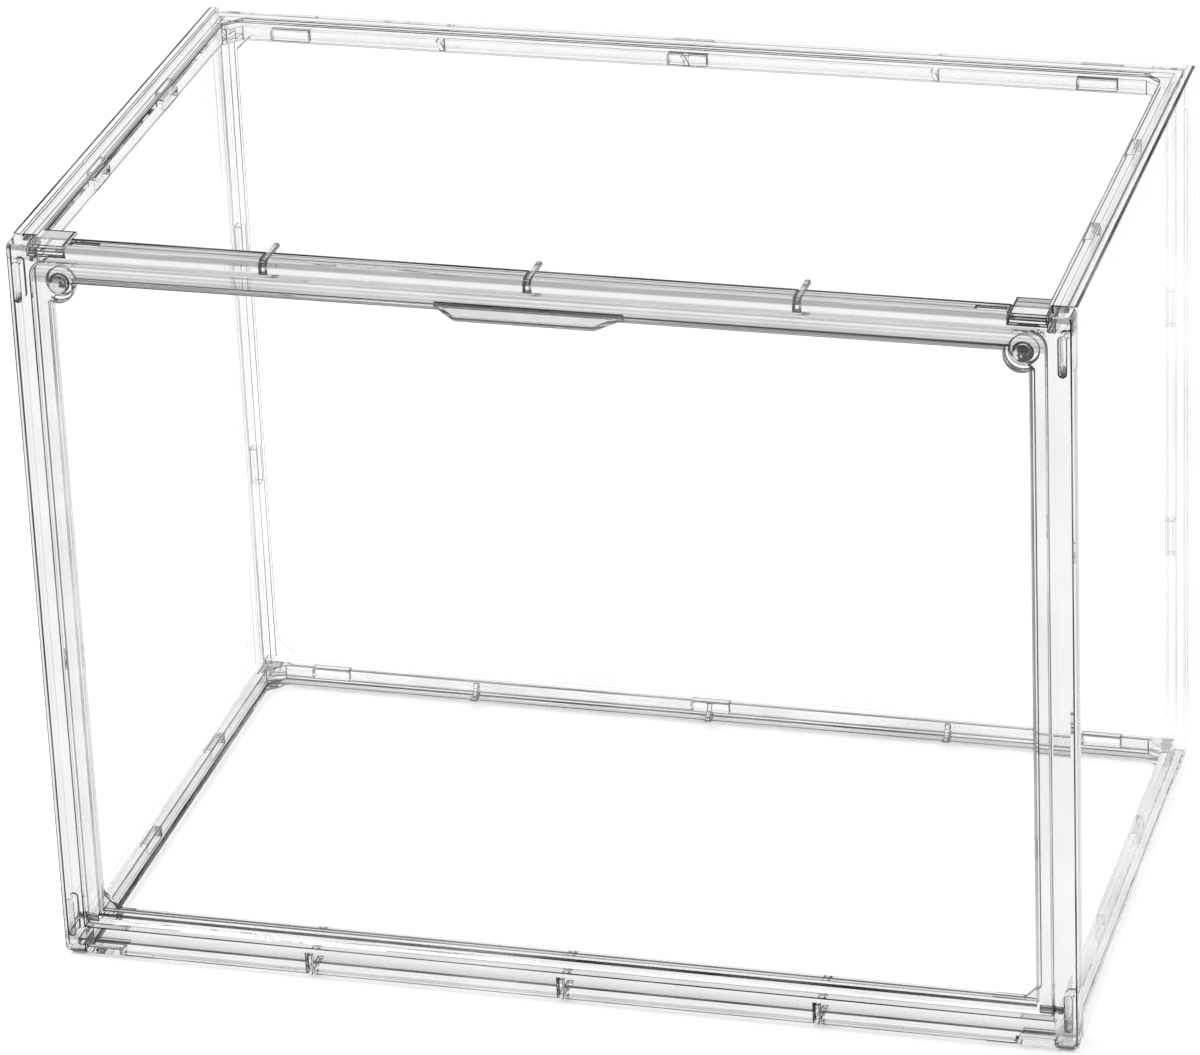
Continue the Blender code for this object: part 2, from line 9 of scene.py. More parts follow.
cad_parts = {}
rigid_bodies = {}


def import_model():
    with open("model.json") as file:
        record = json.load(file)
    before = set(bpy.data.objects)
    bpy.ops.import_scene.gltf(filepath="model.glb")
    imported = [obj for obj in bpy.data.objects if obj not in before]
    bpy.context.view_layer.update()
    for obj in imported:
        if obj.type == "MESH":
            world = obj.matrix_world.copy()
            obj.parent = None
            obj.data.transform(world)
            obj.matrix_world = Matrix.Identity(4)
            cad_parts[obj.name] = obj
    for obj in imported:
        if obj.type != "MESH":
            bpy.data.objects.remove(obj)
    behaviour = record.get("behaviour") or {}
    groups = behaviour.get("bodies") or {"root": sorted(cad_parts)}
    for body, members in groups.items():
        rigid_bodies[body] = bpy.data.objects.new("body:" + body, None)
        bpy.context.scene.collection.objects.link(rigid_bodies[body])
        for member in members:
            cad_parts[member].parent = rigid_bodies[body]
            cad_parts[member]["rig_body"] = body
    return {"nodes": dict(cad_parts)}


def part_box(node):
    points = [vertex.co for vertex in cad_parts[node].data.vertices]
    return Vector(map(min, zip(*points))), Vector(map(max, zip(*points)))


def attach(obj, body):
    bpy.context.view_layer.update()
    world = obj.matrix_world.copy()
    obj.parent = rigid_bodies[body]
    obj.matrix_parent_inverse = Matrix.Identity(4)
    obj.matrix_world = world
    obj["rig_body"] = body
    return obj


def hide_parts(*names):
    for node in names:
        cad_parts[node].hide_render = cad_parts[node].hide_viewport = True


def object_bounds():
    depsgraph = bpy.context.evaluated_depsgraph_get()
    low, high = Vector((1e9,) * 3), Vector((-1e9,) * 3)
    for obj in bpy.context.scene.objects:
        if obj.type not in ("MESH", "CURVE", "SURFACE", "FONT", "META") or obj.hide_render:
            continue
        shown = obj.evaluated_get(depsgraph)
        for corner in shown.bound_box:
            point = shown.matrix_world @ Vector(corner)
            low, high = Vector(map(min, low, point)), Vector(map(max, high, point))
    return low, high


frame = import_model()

bl_info = {
    "name": "Book display box",
    "version": (1, 0, 0),
    "blender": (4, 5, 0),
    "location": "3D View > Sidebar > Display box",
    "description": "Finishes a clear snap-together book display box round its fixed frame",
    "category": "Object",
}

# The side walls, and which way along x is inwards
SIDES = (("left_panel", 1), ("right_panel", -1))
MAGNETS = ("door_magnet_left", "door_magnet_right", "frame_magnet_left", "frame_magnet_right")
HINGE_PINS = ("hinge_pin_left", "hinge_pin_right")
FEET = ("foot_front_left", "foot_front_right", "foot_back_left", "foot_back_right")

# How near points are joined, and how flat neighbouring faces are that become one
WELD_DISTANCE = 0.000001
FLAT_ANGLE = math.radians(0.5)

# Which edges are rounded, how wide a plain rounding is beside the widest one, and how much of the
# narrower face beside it a rounding may take
FILLET_ANGLE = math.radians(38)
PLAIN_SHARE = 0.5
ROOM_SHARE = 0.35

# How large the face of a thin sheet and the rounding of a long edge are at least, in square
# metres, and how straight a face looks along an axis
SMALLEST_SHEET_AREA = 0.02
LONG_EDGE_AREA = 0.00012
FACING = 0.9

# How much of the lean of the tabs' rear edges their inner ends get
TAB_END_SHARE = 0.5

# The material slots of a clear moulding: the edge and the accent slots hold dark lines of painted
# shade, and the shaded slot the grip's painted shade
RIM_SLOT, SHEET_SLOT, EDGE_SLOT, SHADED_SLOT, ACCENT_SLOT = range(5)

# The patterns of the finishes: how fine they are, and what they do to roughness and relief
NOISE_RANGE = (0.35, 0.65)
NOISE_MIDDLE = 0.5
FLOW_SCALE = 30
FLOW_ROUGHNESS = (0.0, 0.012)
FLOW_RELIEF = {"distance": 0.0002, "strength": 0.1}
SWELL_SCALE = 22
EDGE_ROUGHNESS = (0.2, 0.05)
PLATING_SCALE = 330
PLATING_SPREAD = 0.04
WIRE_SCALE = 900
WIRE_SPREAD = 0.1
WIRE_STRETCH = (0.1, 1, 1)
METAL_DETAIL = 4.0
METAL_ROUGHNESS = (0.12, 0.3)
METAL_RELIEF = {"distance": 0.00005, "strength": 0.3}
PAD_SCALE = 900
PAD_DETAIL = 3.0
PAD_ROUGHNESS = (0.5, 0.75)
PAD_RELIEF = {"distance": 0.0001, "strength": 0.4}

# Heights in metres and shares of the painted shade along the frame's two rails, grey bands painted
# into the plastic's colour, and the y between which it ends towards the back
FRAME_SHADING = (
    (0.0026, 0.0), (0.0029, 0.18), (0.0058, 0.0), (0.0062, 0.0), (0.0066, 0.75), (0.0095, 0.3),
    (0.0118, 0.0), (0.2643, 0.0), (0.2645, 0.5), (0.2653, 0.5), (0.2658, 0.0), (0.2674, 0.0),
    (0.2680, 0.85), (0.2693, 0.85), (0.2697, 0.6))
FRAME_SHADING_DEPTH = (-0.1026, -0.1018)

# The same painted shade along the inner edge of the door's upper rail, and at the root of the grip,
# where it paints a black line
DOOR_SHADING = (
    (0.2566, 0.0), (0.2570, 0.6), (0.2588, 0.6), (0.2594, 0.0), (0.2609, 0.0), (0.2612, 0.5),
    (0.2618, 0.5), (0.2621, 0.0), (0.2627, 0.0), (0.2631, 0.45))
GRIP_SHADING = ((0.2590, 0.0), (0.2591, 1.0))

CAD_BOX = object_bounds()


# Ranges and spans
def below(limit):
    """The range that ends at a limit."""
    return (-math.inf, limit)


def above(limit):
    """The range that starts at a limit."""
    return (limit, math.inf)


def past(line, start, end):
    """The range from one distance past a line to another."""
    return (line + start, line + end)


def on_both_sides(across, along, up):
    """A span on the right, and its mirror image on the left."""
    low, high = across
    return ((low, high), along, up), ((-high, -low), along, up)


def within(span, point):
    """Whether a point lies in a span."""
    return all(low <= value <= high for (low, high), value in zip(span, point))


# Lines of the frame's solids that the spans are measured from, how near a point touches one, and
# how near the middle of a face is one that lies in the skin
(LEFT, _, _), (RIGHT, REAR, TOP) = CAD_BOX
_, FRONT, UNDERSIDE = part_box("front_frame")[0]
DOOR_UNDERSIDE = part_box("door_panel")[0].z
ANY = (-math.inf, math.inf)
TOUCHING = 0.00001
SKIN = 0.0005

# Spans in metres, as ranges of x, y and z: first those in which the rounding is at its widest
WIDE_ROUNDING = {
    "base_panel": ((ANY, ANY, past(UNDERSIDE, 0.0027, 0.0029)),),
    "front_frame": ((ANY, past(FRONT, 0.0004, 0.0007), past(UNDERSIDE, 0.0004, 0.0006)),),
    "door_panel": ((ANY, past(FRONT, 0.0001, 0.0003), past(TOP, -0.0107, -0.0105)),),
}

# Then the faces, by their middles, that change their finish: many set how strong the dark lines of
# painted shade are in a place, fainter on the base's right and stronger on the back's left
BASE_FRONT = (ANY, below(FRONT + 0.012), ANY)
BASE_FRONT_FOOT = (ANY, below(FRONT + 0.012), below(UNDERSIDE + 0.002))
BASE_RIGHT = (above(RIGHT - 0.015), ANY, ANY)
TAB_TOPS = on_both_sides(above(RIGHT - 0.03), below(FRONT + 0.015), above(TOP - 0.001))
BACK_LEFT = (below(LEFT + 0.015), ANY, ANY)
BACK_OUTSIDE = (ANY, above(REAR - SKIN), ANY)
SIDE_TOP = (ANY, ANY, above(TOP - SKIN))
SIDE_OUTSIDES = on_both_sides(above(RIGHT - SKIN), ANY, ANY)
FRAME_UPPER_FRONT = (ANY, below(FRONT + 0.001), above(TOP - 0.001))
FRAME_LOWER_REAR = (ANY, above(FRONT + 0.0075), below(UNDERSIDE + 0.003))
FRAME_BAND = (ANY, ANY, past(TOP, -0.0065, -0.005))
FRAME_CORNERS = on_both_sides(above(RIGHT - 0.03), ANY, above(TOP - 0.015))
GRIP = (ANY, below(FRONT), ANY)
GRIP_ROOT = ((-0.033, 0.033), past(FRONT, -0.0005, 0.0006), ANY)
DOOR_FOOT = (ANY, ANY, below(DOOR_UNDERSIDE + 0.0007))
DOOR_ABOVE_FOOT = (ANY, ANY, above(DOOR_UNDERSIDE + 0.0076))
DOOR_UPPER_RAIL = (ANY, ANY, above(TOP - 0.02))

# And the points that lean over
UPPERMOST = above(TOP - TOUCHING)
TAB_REARS = ((LEFT + 0.008, RIGHT - 0.008), past(FRONT, 0.0139, 0.014), UPPERMOST)
TAB_ENDS = on_both_sides(past(RIGHT, -0.0206, -0.0204), below(FRONT + 0.014), UPPERMOST)
SIDE_TOP_EDGES = on_both_sides(above(RIGHT - SKIN), ANY, UPPERMOST)
FRAME_TOP_REAR = ((LEFT + 0.021, RIGHT - 0.021), past(FRONT, 0.0081, 0.0085), UPPERMOST)
FRAME_TOP_FRONT = ((LEFT + 0.021, RIGHT - 0.021), past(FRONT, 0.0017, 0.0019), UPPERMOST)


def white(level):
    """A neutral colour of that level, with full alpha."""
    return (level, level, level, 1)


# Sizes and colours that a user would change
class PlasticSettings(bpy.types.PropertyGroup):
    """The clear moulded plastic."""

    wall_fillet: FloatProperty(
        name="Wall corner radius", description="Radius of the rounded edges of the fixed walls",
        default=0.00025, min=0.00005, max=0.001, unit="LENGTH", precision=5)
    frame_fillet: FloatProperty(
        name="Frame corner radius", description="Radius of the rounded edges of the front frame",
        default=0.00034, min=0.00005, max=0.001, unit="LENGTH", precision=5)
    door_fillet: FloatProperty(
        name="Door corner radius", description="Radius of the rounded edges of the door",
        default=0.0003, min=0.00005, max=0.001, unit="LENGTH", precision=5)
    side_lean: FloatProperty(
        name="Side lean", description="How much further the sides' upper outer edges slope",
        default=0.0008, min=0, max=0.002, unit="LENGTH", precision=5)
    tab_lean: FloatProperty(
        name="Tab lean", description="How much further the rear edges of the top's tabs slope",
        default=0.0012, min=0, max=0.002, unit="LENGTH", precision=5)
    frame_lean: FloatProperty(
        name="Frame lean", description="How much further the frame's upper rear edge slopes",
        default=0.0019, min=0, max=0.003, unit="LENGTH", precision=5)
    frame_reach: FloatProperty(
        name="Frame reach", description="How much further forward the frame's flat top reaches",
        default=0.0006, min=0, max=0.0009, unit="LENGTH", precision=5)
    tint: FloatVectorProperty(
        name="Tint", description="What the rims and rails let through", subtype="COLOR",
        default=(0.985, 0.985, 0.985), min=0, max=1)
    # Painted shade: a greyer copy of the tint, for the grip and the base's rim
    shaded_tint: FloatVectorProperty(
        name="Shaded tint", description="What the grip and the frame's rails let through",
        subtype="COLOR", default=(0.82, 0.82, 0.82), min=0, max=1)
    # Painted shade: the colour that the grey bands painted along the frame's and the door's rails
    # run to
    rail_shade: FloatVectorProperty(
        name="Rail shade", description="What the rails let through where they are deepest",
        subtype="COLOR", default=(0.1, 0.1, 0.1), min=0, max=1)
    # Painted shade: the black line painted where the grip meets the door
    root_shade: FloatVectorProperty(
        name="Root shade", description="What the root of the grip lets through", subtype="COLOR",
        default=(0.02, 0.02, 0.02), min=0, max=1)
    # Painted shade: the greyer end of the cloud on the grip
    shaded_cloud: FloatVectorProperty(
        name="Shaded cloud", description="The slightly greyer plastic of the grip and the rails",
        subtype="COLOR", default=(0.68, 0.68, 0.68), min=0, max=1)
    cloud: FloatVectorProperty(
        name="Cloud", description="The slightly greyer plastic where the mould filled last",
        subtype="COLOR", default=(0.95, 0.95, 0.95), min=0, max=1)
    frame_tint: FloatVectorProperty(
        name="Frame tint", description="What the thicker front frame lets through", subtype="COLOR",
        default=(0.95, 0.95, 0.95), min=0, max=1)
    frame_cloud: FloatVectorProperty(
        name="Frame cloud", description="The slightly greyer plastic of the front frame",
        subtype="COLOR", default=(0.89, 0.89, 0.89), min=0, max=1)
    rim_presence: FloatProperty(
        name="Rim presence", description="How much of the light the rims bend", subtype="FACTOR",
        default=1.0, min=0, max=1)
    faint_presence: FloatProperty(
        name="Faint rim presence",
        description="How much of the light the rims of the sides and the back bend",
        subtype="FACTOR", default=0.2, min=0, max=1)
    bend: FloatProperty(
        name="Refractive index", description="How strongly the rims bend light",
        default=1.5, min=1, max=2)
    sheet_presence: FloatProperty(
        name="Sheet presence", description="How much the thin sheets show", subtype="FACTOR",
        default=0.035, min=0, max=1)
    depth_colour: FloatVectorProperty(
        name="Colour in depth", description="What a long way through the plastic lets past",
        subtype="COLOR", default=(0.5, 0.5, 0.5), min=0, max=1)
    depth_density: FloatProperty(
        name="Density in depth", description="How fast the plastic darkens with depth, per metre",
        default=2.5, min=0, max=100)
    # Painted shade: the colour and strengths of the dark lines painted on the rounded edges
    edge_painted_shade: FloatVectorProperty(
        name="Edge colour", description="The dark that the rounded edges gather", subtype="COLOR",
        default=(0.02, 0.021, 0.023), min=0, max=1)
    edge_faint: FloatVectorProperty(
        name="Faint edges", description="Least and most strength of the side and back walls' edges",
        size=2, default=(0.05, 0.3), min=0, max=1)
    edge_clear: FloatVectorProperty(
        name="Clear edges", description="Least and most strength of the base's and the top's edges",
        size=2, default=(0.65, 1.0), min=0, max=1)
    edge_door: FloatVectorProperty(
        name="Door edges", description="Least and most strength of the door's upright edges",
        size=2, default=(0.25, 0.65), min=0, max=1)
    edge_strong: FloatVectorProperty(
        name="Strong edges", description="Least and most strength of the front frame's edges",
        size=2, default=(0.75, 1.0), min=0, max=1)


class FittingSettings(bpy.types.PropertyGroup):
    """The magnets, the hinge pins and the feet."""

    plating: FloatVectorProperty(
        name="Magnet plating", description="Colour of the plated magnets", subtype="COLOR",
        default=(0.75, 0.75, 0.76), min=0, max=1)
    # Painted reflection: near-black patches for the dark that the magnets reflect
    painted_reflection: FloatVectorProperty(
        name="Plating shade", description="Darker patches of the magnets' plating",
        subtype="COLOR", default=(0.02, 0.02, 0.022), min=0, max=1)
    # Painted shade: the pins' wire is painted dark, and its drawing marks darker still
    wire: FloatVectorProperty(
        name="Pin wire", description="Colour of the drawn wire of the pins", subtype="COLOR",
        default=(0.3, 0.3, 0.31), min=0, max=1)
    wire_shade: FloatVectorProperty(
        name="Drawing marks", description="Darker drawing marks along the pins", subtype="COLOR",
        default=(0.06, 0.06, 0.065), min=0, max=1)
    pad: FloatVectorProperty(
        name="Foot pad", description="Colour of the soft pads", subtype="COLOR",
        default=(0.34, 0.345, 0.35), min=0, max=1)
    pad_dust: FloatVectorProperty(
        name="Pad bloom", description="Paler bloom on the soft pads", subtype="COLOR",
        default=(0.46, 0.465, 0.47), min=0, max=1)


class StageSettings(bpy.types.PropertyGroup):
    """The floor, the lights and the camera."""

    floor_size: FloatProperty(
        name="Floor size", description="Side of the square floor", default=24, unit="LENGTH")
    floor_colour: FloatProperty(
        name="Floor level", description="How pale the floor is", default=0.86, min=0, max=1)
    floor_lift: FloatProperty(
        name="Floor lift", description="What the floor adds where it is looked at",
        default=0.3, min=0, max=1)
    far_lift: FloatProperty(
        name="Far floor lift", description="What the floor adds beyond the softbox's reach",
        default=0.5, min=0, max=1)
    far_from: FloatProperty(
        name="Far from", description="Where the floor starts to add more", default=1.0,
        unit="LENGTH")
    far_to: FloatProperty(
        name="Far to", description="Where the floor adds the most", default=2.5, unit="LENGTH")
    surround: FloatProperty(
        name="Surround level", description="How bright the room is above the white backdrop",
        default=0.3, min=0, max=1)
    backdrop_top: FloatProperty(
        name="Backdrop top", description="Height at which the backdrop starts to fade, as a sine",
        default=0.3, min=0, max=1)
    surround_from: FloatProperty(
        name="Surround from", description="Height from which only the room shows, as a sine",
        default=0.95, min=0, max=1)
    ambient: FloatProperty(
        name="Ambient level", description="Even light on matt surfaces", default=0.62, min=0, max=2)
    softbox_power: FloatProperty(
        name="Softbox power", description="Power of the softbox above", default=26, min=0,
        unit="POWER")
    softbox_size: FloatProperty(
        name="Softbox size", description="Side of the square softbox", default=1.6, unit="LENGTH")
    softbox_place: FloatVectorProperty(
        name="Softbox place", description="Where the softbox hangs", subtype="TRANSLATION",
        default=(-0.9, -0.7, 2.1), unit="LENGTH")
    aim: FloatVectorProperty(
        name="Aim", description="Point that the camera looks at", subtype="TRANSLATION",
        default=(-0.00841, -0.00405, 0.1314), unit="LENGTH")
    distance: FloatProperty(
        name="Distance", description="From the camera to the aim", default=2.24, unit="LENGTH")
    azimuth: FloatProperty(
        name="Azimuth", description="How far the camera stands to the right of the front",
        default=math.radians(16.024), subtype="ANGLE")
    elevation: FloatProperty(
        name="Elevation", description="How far the camera looks down",
        default=math.radians(25.588), subtype="ANGLE")
    roll: FloatProperty(
        name="Roll", description="How far the camera leans", default=math.radians(-2.509),
        subtype="ANGLE")
    lens: FloatProperty(
        name="Focal length", description="Focal length in millimetres", default=193.204)
    sensor: FloatProperty(
        name="Sensor width", description="Sensor width in millimetres", default=36)
    bends: IntProperty(
        name="Bends", description="How often a ray may turn inside the plastic", default=24, min=8)
    clear_faces: IntProperty(
        name="Clear faces", description="How many clear faces a ray may cross", default=48, min=8)


class DisplayBoxSettings(bpy.types.PropertyGroup):
    """Everything that can be set on the display box."""

    plastic: PointerProperty(type=PlasticSettings)
    fittings: PointerProperty(type=FittingSettings)
    stage: PointerProperty(type=StageSettings)


def settings():
    """The display box's settings in the current scene."""
    return bpy.context.scene.display_box


# Node helpers
class Finish:
    """A material under construction, with short words for its nodes."""

    def __init__(self, name):
        self.material = bpy.data.materials.new(name)
        self.material.use_nodes = True
        self.tree = self.material.node_tree
        self.surface = self.tree.nodes["Principled BSDF"]
        self.output = self.tree.nodes["Material Output"]

    def node(self, kind, **values):
        """A new node with some of its options set."""
        made = self.tree.nodes.new(kind)
        for word, value in values.items():
            setattr(made, word, value)
        return made

    def link(self, source, target):
        """Join an output to an input."""
        self.tree.links.new(source, target)

    def set(self, **values):
        """Set sockets of the main shader by name, with underscores for spaces."""
        for word, value in values.items():
            self.surface.inputs[word.replace("_", " ")].default_value = value

    def noise(self, scale, detail=2.0, stretch=None):
        """Noise in the piece's own metres, drawn out along an axis if asked."""
        place = self.node("ShaderNodeTexCoord").outputs["Object"]
        if stretch:
            drawn = self.node("ShaderNodeMapping")
            drawn.inputs["Scale"].default_value = stretch
            self.link(place, drawn.inputs["Vector"])
            place = drawn.outputs["Vector"]
        texture = self.node("ShaderNodeTexNoise")
        texture.inputs["Scale"].default_value = scale
        texture.inputs["Detail"].default_value = detail
        self.link(place, texture.inputs["Vector"])
        return texture.outputs["Fac"]

    def between(self, factor, low, high, start=NOISE_RANGE[0], end=NOISE_RANGE[1]):
        """A number that runs from low to high as the factor runs from start to end."""
        spread = self.node("ShaderNodeMapRange")
        for word, value in (
                ("From Min", start), ("From Max", end), ("To Min", low), ("To Max", high)):
            spread.inputs[word].default_value = value
        self.link(factor, spread.inputs["Value"])
        return spread.outputs["Result"]

    def place(self, axis):
        """Where a point of the piece lies along an axis, in the piece's own metres."""
        axes = self.node("ShaderNodeSeparateXYZ")
        self.link(self.node("ShaderNodeTexCoord").outputs["Object"], axes.inputs["Vector"])
        return axes.outputs[axis]

    def combined(self, operation, first, second):
        """Two numbers added or multiplied."""
        both = self.node("ShaderNodeMath", operation=operation)
        self.link(first, both.inputs[0])
        self.link(second, both.inputs[1])
        return both.outputs["Value"]

    def by_height(self, shares):
        """A share that runs straight from pair to pair of height and share, from a share of 0."""
        height = self.place("Z")
        total = None
        for (low, first), (high, second) in zip(shares, shares[1:]):
            if first != second:
                rise = self.between(height, 0, second - first, start=low, end=high)
                total = self.combined("ADD", total, rise) if total else rise
        return total

    def blend(self, factor, first, second):
        """A colour between two others."""
        mix = self.node("ShaderNodeMix", data_type="RGBA")
        mix.inputs["A"].default_value = (*first, 1)
        mix.inputs["B"].default_value = (*second, 1)
        self.link(factor, mix.inputs["Factor"])
        return mix.outputs["Result"]

    def bump(self, height, distance, strength):
        """Raise the surface by a height map."""
        relief = self.node("ShaderNodeBump")
        relief.inputs["Strength"].default_value = strength
        relief.inputs["Distance"].default_value = distance
        self.link(height, relief.inputs["Height"])
        self.link(relief.outputs["Normal"], self.surface.inputs["Normal"])


# Finishes
def clear_moulding(name, presence, tint, cloud, shaded=None, shading=(), depth=()):
    # The shading below is painted shade, grey bands painted into the colour by height
    """Clear plastic that bends light, with a faint flow of the mould.

    Where shading is given, as heights and shares, the colour runs to the shaded one by that share,
    and where a depth is given, the shading ends there towards the back. Sheets and faint rims
    don't darken in depth, because a ray that leaves by another finish keeps the darkening.
    """
    plastic = settings().plastic
    finish = Finish(name)
    finish.set(Transmission_Weight=1.0, IOR=plastic.bend, Alpha=presence)
    flow = finish.noise(FLOW_SCALE)
    cast = finish.between(flow, 0, 1)
    colour = finish.blend(cast, tint, cloud)
    if shading:
        deeper = finish.node("ShaderNodeMix", data_type="RGBA")
        share = finish.by_height(shading)
        if depth:
            near = finish.between(finish.place("Y"), 1, 0, start=depth[0], end=depth[1])
            share = finish.combined("MULTIPLY", share, near)
        finish.link(share, deeper.inputs["Factor"])
        finish.link(colour, deeper.inputs["A"])
        deeper.inputs["B"].default_value = (*shaded, 1)
        colour = deeper.outputs["Result"]
    finish.link(colour, finish.surface.inputs["Base Color"])
    finish.link(finish.between(flow, *FLOW_ROUGHNESS), finish.surface.inputs["Roughness"])
    finish.bump(flow, **FLOW_RELIEF)
    if presence > plastic.faint_presence:
        body = finish.node("ShaderNodeVolumeAbsorption")
        body.inputs["Color"].default_value = (*plastic.depth_colour, 1)
        body.inputs["Density"].default_value = plastic.depth_density
        finish.link(body.outputs["Volume"], finish.output.inputs["Volume"])
    let_lamps_through(finish)
    return finish.material


def let_lamps_through(finish):
    """Let lamps shine through the plastic, so that its shadow stays as light as the real one."""
    path = finish.node("ShaderNodeLightPath")
    open_way = finish.node("ShaderNodeBsdfTransparent")
    open_way.inputs["Color"].default_value = (*settings().plastic.tint, 1)
    choice = finish.node("ShaderNodeMixShader")
    finish.link(path.outputs["Is Shadow Ray"], choice.inputs["Fac"])
    finish.link(finish.surface.outputs["BSDF"], choice.inputs[1])
    finish.link(open_way.outputs["BSDF"], choice.inputs[2])
    finish.link(choice.outputs["Shader"], finish.output.inputs["Surface"])


def dark_edge(name, strength):
    """Rounded edges of clear plastic with painted shade: dark lines that swell and fade."""
    plastic = settings().plastic
    finish = Finish(name)
    finish.set(Base_Color=(*plastic.edge_painted_shade, 1), IOR=plastic.bend, Specular_IOR_Level=0.0)
    swell = finish.noise(SWELL_SCALE)
    finish.link(finish.between(swell, *strength), finish.surface.inputs["Alpha"])
    finish.link(finish.between(swell, *EDGE_ROUGHNESS), finish.surface.inputs["Roughness"])
    return finish.material


def plated_metal(name, colour, shade, grain, spread, stretch=None):
    """Bright metal with darker patches or drawing marks, as sharp as the spread is small."""
    # The darker patches are painted reflection on the magnets, and painted shade in the pins' marks
    finish = Finish(name)
    marks = finish.noise(grain, detail=METAL_DETAIL, stretch=stretch)
    finish.set(Metallic=1.0)
    patches = finish.between(
        marks, 0, 1, start=NOISE_MIDDLE - spread, end=NOISE_MIDDLE + spread)
    finish.link(finish.blend(patches, colour, shade), finish.surface.inputs["Base Color"])
    finish.link(finish.between(marks, *METAL_ROUGHNESS), finish.surface.inputs["Roughness"])
    finish.bump(marks, **METAL_RELIEF)
    return finish.material


def soft_pad(name):
    """Soft grey pad with a paler bloom."""
    fittings = settings().fittings
    finish = Finish(name)
    bloom = finish.noise(PAD_SCALE, detail=PAD_DETAIL)
    finish.link(
        finish.blend(finish.between(bloom, 0, 1), fittings.pad, fittings.pad_dust),
        finish.surface.inputs["Base Color"])
    finish.link(finish.between(bloom, *PAD_ROUGHNESS), finish.surface.inputs["Roughness"])
    finish.bump(bloom, **PAD_RELIEF)
    return finish.material


def finish_named(name, make, *values):
    """A finish that several pieces share, made once."""
    return bpy.data.materials.get(name) or make(name, *values)


# Clear mouldings
def room_beside(edge):
    """The width of the narrower face beside an edge."""
    start, end = (vert.co for vert in edge.verts)
    along = (end - start).normalized()
    return min(
        max((vert.co - start).cross(along).length for vert in face.verts)
        for face in edge.link_faces)


def whole_faces(node, name, fillet):
    """A copy of a solid with each flat face whole, and each sharp edge's share of the rounding."""
    shape = bmesh.new()
    shape.from_mesh(frame["nodes"][node].data)
    bmesh.ops.remove_doubles(shape, verts=shape.verts, dist=WELD_DISTANCE)
    bmesh.ops.dissolve_limit(shape, angle_limit=FLAT_ANGLE, verts=shape.verts, edges=shape.edges)
    share = shape.edges.layers.float.new("bevel_weight_edge")
    spans = WIDE_ROUNDING.get(node, ())
    for edge in shape.edges:
        if edge.calc_face_angle(0) > FILLET_ANGLE:
            wide = any(all(within(span, vert.co) for vert in edge.verts) for span in spans)
            most = room_beside(edge) * ROOM_SHARE / fillet * PLAIN_SHARE
            edge[share] = min(1 if wide else PLAIN_SHARE, most)
    mesh = bpy.data.meshes.new(name)
    shape.to_mesh(mesh)
    shape.free()
    return mesh


def evaluated_mesh(piece):
    """The piece's mesh with its modifiers applied."""
    bpy.context.view_layer.update()
    return bpy.data.meshes.new_from_object(
        piece.evaluated_get(bpy.context.evaluated_depsgraph_get()))


def mould(node, fillet, edge, rim="clear", accent="edge_strong"):
    """The clear moulding that stands for one of the frame's solids, with its edges rounded.

    The rim is one of the finishes below, and edge and accent are settings of the plastic.
    """
    plastic = settings().plastic
    solid = frame["nodes"][node]
    name = f"{node}_moulding"
    piece = bpy.data.objects.new(name, whole_faces(node, name, fillet))
    bpy.context.scene.collection.objects.link(piece)
    # The frame's and the door's rims carry the painted bands of shade
    colours = {
        "clear": (plastic.tint, plastic.cloud),
        "frame": (
            plastic.frame_tint, plastic.frame_cloud, plastic.rail_shade, FRAME_SHADING,
            FRAME_SHADING_DEPTH),
        "door": (plastic.tint, plastic.cloud, plastic.rail_shade, DOOR_SHADING),
        # The base's rim has the greyer tint of painted shade
        "base": (plastic.shaded_tint, plastic.tint),
        "faint": (plastic.tint, plastic.cloud),
    }
    presence = plastic.faint_presence if rim == "faint" else plastic.rim_presence
    for material in (
            finish_named(f"{rim}_rim", clear_moulding, presence, *colours[rim]),
            finish_named("clear_sheet", clear_moulding, plastic.sheet_presence, *colours["clear"]),
            finish_named(edge, dark_edge, getattr(plastic, edge)),
            # grip_rim holds the grip's painted shade, with a black line at its root
            finish_named(
                "grip_rim", clear_moulding, plastic.rim_presence, plastic.shaded_tint,
                plastic.shaded_cloud, plastic.root_shade, GRIP_SHADING),
            finish_named(accent, dark_edge, getattr(plastic, accent))):
        piece.data.materials.append(material)
    rounding = piece.modifiers.new("rounding", "BEVEL")
    rounding.width = fillet / PLAIN_SHARE
    rounding.segments = 1
    rounding.limit_method = "WEIGHT"
    rounding.use_clamp_overlap = False
    # The rounding's faces take the dark lines of painted shade
    rounding.material = EDGE_SLOT
    piece.data = evaluated_mesh(piece)
    piece.modifiers.clear()
    for face in piece.data.polygons:
        face.use_smooth = face.material_index == EDGE_SLOT
        if face.area > SMALLEST_SHEET_AREA:
            face.material_index = SHEET_SLOT
    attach(piece, solid["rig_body"])
    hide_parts(node)
    return piece


def looks_forwards(face):
    """Whether a face looks to the front."""
    return face.normal.y < -FACING


def looks_up(face):
    """Whether a face looks up."""
    return face.normal.z > FACING


def is_long(face):
    """Whether the rounding of an edge runs along a whole rail."""
    return face.area > LONG_EDGE_AREA


def refit(piece, slot, spans, only=RIM_SLOT, test=None):
    """Move the faces of one slot to another, where their middle lies in a span and a test holds."""
    for face in piece.data.polygons:
        inside = any(within(span, face.center) for span in spans)
        if inside and face.material_index == only and (test is None or test(face)):
            face.material_index = slot


def lean(piece, shift, spans):
    """Move the points in some spans, so that the rounding beside them leans over."""
    for point in piece.data.vertices:
        if any(within(span, point.co) for span in spans):
            point.co += Vector(shift)


